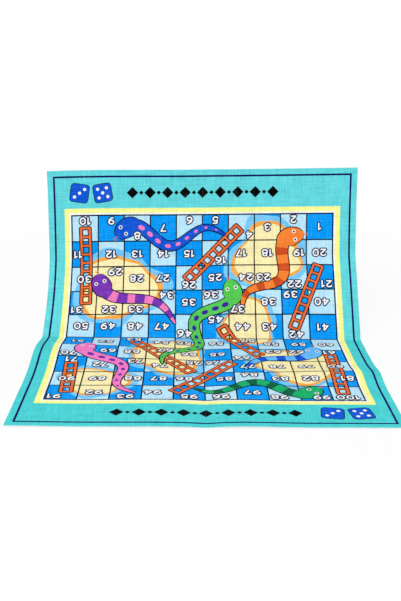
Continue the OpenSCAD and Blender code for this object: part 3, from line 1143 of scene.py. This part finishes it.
def snake_face(spine):
    """Two dots for eyes, and a forked tongue in front of the nose."""
    made = []
    for share in (-EYE_ASIDE, EYE_ASIDE):
        middle, _, _ = beside(spine, EYE_BACK, share)
        made.append(spot(middle, EYE_HALF, INK["white"], MARK_LIFT))
        made.append(spot(middle, PUPIL_HALF, INK["black"], MARK_LIFT + 4 * APART))
    back = spine.ahead[0]
    root = spine.path[0] + back * SNAKE_EDGE
    fork = root - back * TONGUE_L
    tips = [fork - back * FORK_L + aside_of(back) * shift for shift in (-FORK_ASIDE, FORK_ASIDE)]
    made.append(stroke(line(root, fork, step=TONGUE_STEP), TONGUE_HALF, INK["ladder"], MARK_LIFT))
    forks = [line(fork, tip, step=TONGUE_STEP) for tip in tips]
    return made + [stroke(path, FORK_HALF, INK["ladder"], MARK_LIFT + APART) for path in forks]


print("eyes", 2 * EYE_HALF / MM, "mm, tongue", (TONGUE_L + FORK_L) / MM, "mm")

# %% Snakes
# Head and tail in squares, half-waves, side of the first bend, inks, marks, style, and the packed nodes it
# hides
SNAKES = {
    "purple_snake": Snake(
        (1.0, 2.3), (4.0, 4.4), 2, -1, "purple", "rose", "bands",
        {"rear": ["purple_snake"]},
    ),
    "orange_snake": Snake(
        (8.9, 0.8), (6.5, 3.9), 3, -1, "orange", "rust", "bands",
        {"rear": ["orange_snake_head", "orange_snake_tail"]},
    ),
    "green_snake": Snake(
        (6.0, 2.6), (3.6, 7.4), 4, 1, "green", "indigo", "spots",
        {"rear": ["green_snake_head"], "middle": ["green_snake_tail"]},
    ),
    "sky_snake": Snake(
        (9.0, 5.75), (6.4, 7.8), 2, 1, "sky", "deep_blue", "bands",
        {"middle": ["sky_snake"]},
    ),
    "pink_snake": Snake(
        (1.0, 5.8), (2.8, 9.55), 3, -1, "pink", "plum", "spots",
        {"middle": ["pink_snake_head"], "front": ["pink_snake_tail"]},
    ),
    "blue_snake": Snake(
        (1.7, 0.85), (5.9, 0.8), 3, 1, "deep_blue", "rose", "spots",
        {"rear": ["blue_snake"]},
    ),
    "lime_snake": Snake(
        (8.7, 9.1), (4.6, 9.15), 3, 1, "mint", "forest", "bands",
        {"front": ["lime_snake"]},
    ),
}
# Power that crowds the steps towards the round nose
NOSE_CROWDING = 1.2

for name, snake in SNAKES.items():
    spine = spine_of(snake, (np.arange(SNAKE_STEPS + 1) / SNAKE_STEPS) ** NOSE_CROWDING)
    spots = snake_spots(spine, snake.mark) if snake.style == "spots" else []
    lay(name, [*snake_body(spine, snake), *spots, *snake_face(spine)], snake.nodes)

# %% [markdown]
# ## Numerals
# The numbers are white with a dark edge and are read from the far side of the mat, so they stand on their
# heads here. Blender's text objects would bring a typeface and many thin faces. Each numeral is instead
# a few round strokes in a box one unit high, drawn with the same pen as the ladders. Digits could stand at
# equal steps, but that leaves holes beside every 1. So each begins one gap after the one before.

# %% Numerals
NUMERAL_W = 0.6
PEN_STEP = 0.12


def bar(*points):
    """Straight strokes of a numeral from point to point."""
    return line(*points, step=PEN_STEP), False


def bow(middle, radii, start, end):
    """A bent stroke of a numeral."""
    return arc(middle, radii, start, end), False


def loop(middle, radii, count=24):
    """A closed stroke of a numeral."""
    return arc(middle, radii, 0, 360, count), True


def spun(strokes):
    """Strokes turned by half a turn in their box."""
    return [(np.array([NUMERAL_W, 1.0]) - path, closed) for path, closed in strokes]


six_back = np.concatenate([arc((0.56, 0.36), (0.54, 0.62), 98, 178), [[0.02, 0.3]]])
two_bow = np.concatenate([arc((0.30, 0.71), (0.27, 0.29), 165, -30), bar((0.36, 0.42), (0.05, 0.0))[0]])
SIX = [(six_back, False), loop((0.30, 0.29), (0.28, 0.29))]
NUMERALS = {
    0: [loop((0.30, 0.5), (0.29, 0.5), 28)],
    1: [bar((0.34, 0), (0.34, 1)), bar((0.12, 0.8), (0.34, 1))],
    2: [(two_bow, False), bar((0.05, 0), (0.57, 0))],
    3: [bow((0.28, 0.75), (0.25, 0.25), 155, -90), bow((0.28, 0.26), (0.30, 0.26), 90, -155)],
    4: [bar((0.44, 0), (0.44, 1)), bar((0.44, 1), (0.0, 0.3)), bar((0.0, 0.3), (0.6, 0.3))],
    5: [
        bar((0.53, 1), (0.12, 1)),
        bar((0.12, 1), (0.08, 0.53)),
        bow((0.28, 0.32), (0.29, 0.32), 135, -150),
    ],
    6: SIX,
    7: [bar((0.03, 1), (0.57, 1)), bar((0.57, 1), (0.2, 0))],
    8: [loop((0.30, 0.76), (0.23, 0.24)), loop((0.30, 0.26), (0.29, 0.26))],
    9: spun(SIX),
}
print(len(NUMERALS), "numerals with", sum(map(len, NUMERALS.values())), "strokes")

# %% Setting a number
NUMERAL_H = 14.2 * MM
NUMERAL_WIDEN = 1.36
NUMERAL_SIZE = np.array([NUMERAL_H * NUMERAL_WIDEN, NUMERAL_H])
NUMERAL_GAP = 6.4 * MM


def set_number(number):
    """Strokes of a number about its middle, and its width: each digit begins one gap after the one before."""
    made = []
    end = -NUMERAL_GAP
    for digit in str(number):
        strokes = [(path * NUMERAL_SIZE, closed) for path, closed in NUMERALS[int(digit)]]
        reach = np.concatenate([path[:, 0] for path, _ in strokes])
        shift = np.array([end + NUMERAL_GAP - reach.min(), 0])
        made += [(path + shift, closed) for path, closed in strokes]
        end = shift[0] + reach.max()
    middle = np.array([end, NUMERAL_H]) / 2
    return [(path - middle, closed) for path, closed in made], end


print("numbers 1 and 100 are", [round(set_number(n)[1] / MM, 1) for n in (1, 100)], "mm wide")

# %% [markdown]
# ## Places of the numbers
# The squares are numbered to and fro from the far right, and each number sits where the snakes and ladders
# leave it room. A list of a hundred places could be written by hand. Instead each number tries nine places
# in its square and takes the one with the most room, so that a changed layout needs no new list.

# %% What the numbers keep clear of
# Points along each snake and ladder
OVER_POINTS = 80


def drawn_over():
    """Points down the middle of every snake and ladder, each with its half width."""
    t = np.linspace(0, 1, OVER_POINTS)
    spines = [spine_of(snake, t) for snake in SNAKES.values()]
    found = [np.column_stack([spine.path, spine.half]) for spine in spines]
    for foot, top in LADDERS:
        path = at(*foot) + np.multiply.outer(t, at(*top) - at(*foot))
        found.append(np.column_stack([path, np.full(len(t), LADDER_W / 2)]))
    return np.concatenate(found)


taken = drawn_over()
print("numbers keep clear of", len(taken), "points of snakes and ladders")

# %% Places of the numbers
# Room that the digits leave at the sides and ends of a square, and the room that is enough anywhere
SIDE_ROOM = 12 * MM
END_ROOM = 11 * MM
ENOUGH_ROOM = 9 * MM
MOVE_COST = 0.25
# Points of a number that are tested
NUMBER_POINTS = 5


def number_of(column, row):
    """Number of a square: it counts from the far right, to the left in even rows and back in odd ones."""
    return CELLS * row + (CELLS - column if row % 2 == 0 else column + 1)


def clear_place(column, row, width):
    """Middle of a number of a given width: of nine places in its square, the one with the most room.

    Room is the least distance from the digits to a snake or ladder, and moving aside costs a little of it.
    """
    steps = np.array([0, -1, 1])
    shift_u = steps * (cell - width - SIDE_ROOM) / 2
    shift_v = steps * (cell - NUMERAL_H - END_ROOM) / 2
    shifts = np.stack(np.meshgrid(shift_u, shift_v, indexing="ij"), -1).reshape(-1, 2)
    places = at(column + 0.5, row + 0.5) + shifts
    spread = np.linspace(-0.5, 0.5, NUMBER_POINTS) * width
    digit_points = places[:, None] + np.stack([spread, 0 * spread], -1)
    away = np.linalg.norm(digit_points[:, :, None] - taken[:, :2], axis=-1) - taken[:, 2]
    room = np.minimum(away.min((1, 2)), ENOUGH_ROOM) - MOVE_COST * np.linalg.norm(shifts, axis=1)
    return places[np.argmax(room)]


corner = number_of(0, 0)
print("number", corner, "stands at", clear_place(0, 0, set_number(corner)[1]).round(4))

# %% Numbers
NUMERAL_HALF = 1.6 * MM
NUMERAL_EDGE = 2.4 * MM


def number_patches(column, row):
    """The strokes of one number, upside down in its square, first the edges and then the white."""
    strokes, width = set_number(number_of(column, row))
    middle = clear_place(column, row, width)
    made = []
    for grow, ink, lift in ((NUMERAL_EDGE, "number_edge", NUMBER_EDGE_LIFT), (0, "white", NUMBER_LIFT)):
        pen = NUMERAL_HALF + grow
        for layer, (path, closed) in enumerate(strokes):
            made.append(stroke(middle - path, pen, INK[ink], lift + layer * APART, closed))
    return made


squares = [(column, row) for row in range(CELLS) for column in range(CELLS)]
lay("numbers", [part for square in squares for part in number_patches(*square)], {})

# %% [markdown]
# ## Diamond rows
# The wide bands at the two ends each carry a row of black diamonds, large and small in turn. A diamond
# could be one face, but it would cut through the ripples of the cloth. A small square grid leaned onto
# its corner bends with them.

# %% Diamond rows
DIAMONDS = 9
DIAMOND_SIZE = 26 * MM
DIAMOND_PITCH = 40 * MM
SMALL_DIAMOND = 10 * MM
DIAMOND_LINES = 9
band_v = (half_l - MARGIN - NAVY_W + yellow_half) / 2


def diamond(u, v, size):
    """A square grid leaned onto its corner: x and y become half their difference and half their sum."""
    k = np.linspace(-0.5, 0.5, DIAMOND_LINES) * size
    x, y = np.meshgrid(k, k, indexing="ij")
    return patch(np.array([u, v]) + np.stack([(x - y) / 2, (x + y) / 2], -1), INK["black"], LINE_LIFT)


large = (np.arange(DIAMONDS) - (DIAMONDS - 1) / 2) * DIAMOND_PITCH
small = (large[1:] + large[:-1]) / 2
for end, node in ((-1, "front_diamond_row"), (1, "rear_diamond_row")):
    row = [diamond(u, end * band_v, DIAMOND_SIZE) for u in large]
    row += [diamond(u, end * band_v, SMALL_DIAMOND) for u in small]
    lay("diamonds", row, {"front": [node], "rear": [node]})

# %% [markdown]
# ## Dice
# Two plain dice are printed beside each row of diamonds. A die's face is a square with round corners. A
# square grid with its corners cut would need faces of other shapes there. As a filled outline, like the
# spots of the snakes, it only needs another radius for each direction.

# %% Outline of a die
DIE_SIDE = 40 * MM
DIE_CORNER = 7 * MM


def rounded_square(a, half, corner):
    """Radius of a square with round corners at direction a.

    To a side it is half a side over the larger of |cos a| and |sin a|. To the circle in a corner it is
    the larger root of the equation for the points of a ray at one distance from the circle's middle.
    """
    c, s = np.abs(np.cos(a)), np.abs(np.sin(a))
    inner = half - corner
    side = half / np.maximum(c, s)
    along = inner * (c + s)
    curve = along + np.sqrt(np.maximum(along**2 - 2 * inner**2 + corner**2, 0))
    return np.where(np.minimum(c, s) * side <= inner, side, curve)


corner_reach = float(rounded_square(np.pi / 4, DIE_SIDE / 2, DIE_CORNER))
print("a die reaches", round(corner_reach / MM, 1), "mm to its corners")

# %% Dice
DIE_GAP = 12 * MM
DIE_LEAN_DEGREES = 9
DIE_EDGE = 1.4 * MM
DIE_RINGS = 8
PIP_R = 3.6 * MM
# Pips of the left and the right die, in quarters of a side from its middle
PIPS = {
    -1: [(-1, -1), (0, 0), (1, 1)],
    1: [(-1, -1), (-1, 1), (0, 0), (1, -1), (1, 1)],
}


def die(middle, side):
    """A die with its dark edge and its pips, leaning to its own side."""
    lean = math.radians(side * DIE_LEAN_DEGREES)
    turn = np.array([[math.cos(lean), math.sin(lean)], [-math.sin(lean), math.cos(lean)]])
    made = []
    for grow, ink, lift in ((DIE_EDGE, "snake_edge", LINE_LIFT), (0, "deep_blue", LINE_LIFT + 4 * APART)):
        outline = functools.partial(rounded_square, half=DIE_SIDE / 2 + grow, corner=DIE_CORNER + grow)
        made.append(spot(middle, outline, INK[ink], lift, lean, DIE_RINGS))
    for pip in PIPS[side]:
        place = middle + np.array(pip) * DIE_SIDE / 4 @ turn
        made.append(spot(place, PIP_R, INK["white"], LINE_LIFT + 8 * APART))
    return made


row_end = large[-1] + DIAMOND_SIZE / 2
dice_u = (row_end + half_w - MARGIN - NAVY_W) / 2
for end, node in ((-1, "front_dice"), (1, "rear_dice")):
    pair = []
    for side in (-1, 1):
        middle = np.array([-end * dice_u + side * (DIE_SIDE + DIE_GAP) / 2, end * band_v])
        pair += die(middle, side)
    lay("dice", pair, {"front": [node], "rear": [node]})

# %% [markdown] ## Size of the sheet The real mat is one sheet of about 700 by 800 mm. Its size is printed
# from the packed model, not read off the three cloth pieces, where a stretched mesh would pass for a larger
# cloth.

# %% Sheets
print("sheet cut to", round(2 * half_w, 3), "by", round(2 * half_l, 3), "m")

# %% [markdown]
# ## Floor
# The photograph has a white ground with hardly any shadow. A pure white floor under strong lamps would do
# that, but it would also wash out the print. So the floor is white paper that keeps a soft shadow, with
# part of its white given to the camera alone, and all of it further out. The mat is lit no brighter.

# %% Paper of the floor
# Share of its own white near the mat, and the distances in metres between which it grows to all of it
FLOOR_OWN_WHITE = 0.7
FADE_FROM = 0.5
FADE_TO = 1.6
PAPER = (0.94, 0.94, 0.94, 1)
WHITE = (1, 1, 1, 1)


def camera_like_rays(nodes):
    """1 for rays that show the background: from the camera, in gloss and through glass."""
    path = nodes.add("ShaderNodeLightPath")
    seen = nodes.math("MAXIMUM", path.outputs["Is Camera Ray"], path.outputs["Is Glossy Ray"])
    return nodes.math("MAXIMUM", seen, path.outputs["Is Transmission Ray"])


def white_floor():
    """White paper that keeps the shadow and gives the camera part of its white directly."""
    material = bpy.data.materials.new("white_floor")
    material.use_nodes = True
    nodes = Nodes(material)
    nodes.tree.nodes.remove(nodes.tree.nodes["Principled BSDF"])
    paper = nodes.add("ShaderNodeBsdfDiffuse", {"Color": PAPER})
    own = nodes.add("ShaderNodeEmission", {"Color": WHITE, "Strength": 1.0})
    place = nodes.add("ShaderNodeTexCoord").outputs["Object"]
    away = nodes.add("ShaderNodeVectorMath", {0: place}, operation="LENGTH").outputs["Value"]
    fade = nodes.spread(away, FLOOR_OWN_WHITE, 1.0, FADE_FROM, FADE_TO, interpolation_type="SMOOTHSTEP")
    share = nodes.math("MULTIPLY", camera_like_rays(nodes), fade)
    mixed = nodes.add("ShaderNodeMixShader", {0: share, 1: paper.outputs[0], 2: own.outputs[0]})
    nodes.tree.links.new(mixed.outputs[0], nodes.tree.nodes["Material Output"].inputs["Surface"])
    return material


paper = white_floor()
print("material", paper.name, "with", len(paper.node_tree.nodes), "nodes")

# %% Floor
FLOOR_HALF = 30.0
floor_mesh = bpy.data.meshes.new("floor")
corners = np.array([(-1, -1, 0), (1, -1, 0), (1, 1, 0), (-1, 1, 0)]) * FLOOR_HALF
floor_mesh.from_pydata(corners, [], [(0, 1, 2, 3)])
floor_mesh.materials.append(paper)
floor = bpy.data.objects.new("floor", floor_mesh)
bpy.context.scene.collection.objects.link(floor)
print("floor", 2 * FLOOR_HALF, "m wide")

# %% [markdown]
# ## Light and background
# The print is evenly lit, as in a shop's photograph. Several lamps could share the work, but each would
# leave its own shadow. An even sky gives most of the light, and one wide lamp above the camera gives the
# folds a little shape. Camera rays see a full white sky, whatever light it gives.

# %% Light and background
SKY = 0.86
KEY_PLACE = (-1.0, -2.4, 2.8)
KEY_AIM = (0, 0, 0.1)
KEY_SIZE = 2.5
KEY_POWER = 37

world = bpy.data.worlds.new("even_sky")
world.use_nodes = True
bpy.context.scene.world = world
sky = Nodes(world)
background = world.node_tree.nodes["Background"]
background.inputs["Color"].default_value = WHITE
strength = sky.spread(camera_like_rays(sky), SKY, 1.0)
world.node_tree.links.new(strength, background.inputs["Strength"])

key_data = bpy.data.lights.new("key", "AREA")
key_data.size = KEY_SIZE
key_data.energy = KEY_POWER
key = bpy.data.objects.new("key", key_data)
key.location = KEY_PLACE
key.rotation_euler = (Vector(KEY_AIM) - key.location).to_track_quat("-Z", "Y").to_euler()
bpy.context.scene.collection.objects.link(key)
bpy.context.scene.view_settings.view_transform = "Standard"
print("sky", SKY, "and key lamp", KEY_POWER, "W")

# %% [markdown]
# The dressed mat may stand a little proud of the packed model's box, as soft cloth does, but it may not
# be another size.
